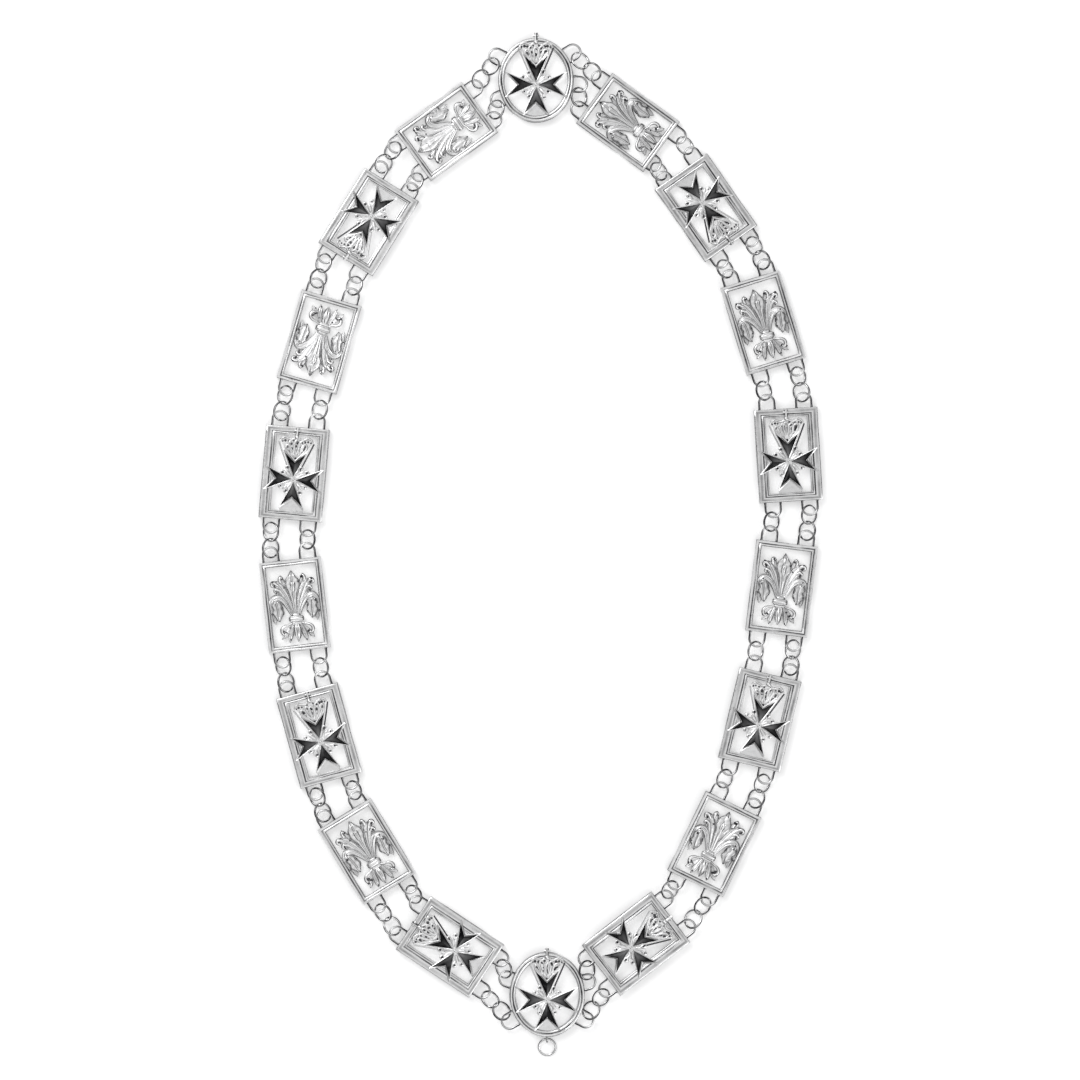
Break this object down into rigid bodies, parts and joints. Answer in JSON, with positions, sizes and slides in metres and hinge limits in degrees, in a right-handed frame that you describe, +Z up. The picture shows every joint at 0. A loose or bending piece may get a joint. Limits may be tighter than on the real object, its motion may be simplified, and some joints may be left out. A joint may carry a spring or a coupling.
{
  "type": "chain collar",
  "caption": "Ceremonial chain collar of openwork silver plates, fleur-de-lis and crowned Maltese crosses in turn, joined in a loop by double strands of wire rings.",
  "frame": {"origin": "middle of the collar's bounding box, on the surface that it lies on", "axes": "+Z up out of the front of the plates, +Y from the front badge to the nape badge, +X to the right as the collar is seen from its front"},
  "size_m": [0.2537, 0.4601, 0.0061],
  "materials": {
    "silver": "polished cast and soldered silver with darker hollows",
    "wire": "polished drawn silver wire",
    "enamel": "glossy black enamel in the cells of the crosses"
  },
  "bodies": {
    "root": {"fleur_plate_left_1": "silver", "cross_plate_left_2": "silver", "fleur_plate_left_3": "silver", "cross_plate_left_4": "silver", "fleur_plate_left_5": "silver", "cross_plate_left_6": "silver", "fleur_plate_left_7": "silver", "cross_plate_left_8": "silver", "fleur_plate_right_1": "silver", "cross_plate_right_2": "silver", "fleur_plate_right_3": "silver", "cross_plate_right_4": "silver", "fleur_plate_right_5": "silver", "cross_plate_right_6": "silver", "fleur_plate_right_7": "silver", "cross_plate_right_8": "silver", "nape_badge": "silver", "front_badge": "silver", "rings_left_outer_1": "wire", "rings_left_outer_2": "wire", "rings_left_outer_3": "wire", "rings_left_outer_4": "wire", "rings_left_outer_5": "wire", "rings_left_outer_6": "wire", "rings_left_outer_7": "wire", "rings_left_outer_8": "wire", "rings_left_outer_9": "wire", "rings_left_inner_1": "wire", "rings_left_inner_2": "wire", "rings_left_inner_3": "wire", "rings_left_inner_4": "wire", "rings_left_inner_5": "wire", "rings_left_inner_6": "wire", "rings_left_inner_7": "wire", "rings_left_inner_8": "wire", "rings_left_inner_9": "wire", "rings_right_outer_1": "wire", "rings_right_outer_2": "wire", "rings_right_outer_3": "wire", "rings_right_outer_4": "wire", "rings_right_outer_5": "wire", "rings_right_outer_6": "wire", "rings_right_outer_7": "wire", "rings_right_outer_8": "wire", "rings_right_outer_9": "wire", "rings_right_inner_1": "wire", "rings_right_inner_2": "wire", "rings_right_inner_3": "wire", "rings_right_inner_4": "wire", "rings_right_inner_5": "wire", "rings_right_inner_6": "wire", "rings_right_inner_7": "wire", "rings_right_inner_8": "wire", "rings_right_inner_9": "wire", "drop_ring": "wire"}
  },
  "joints": []
}
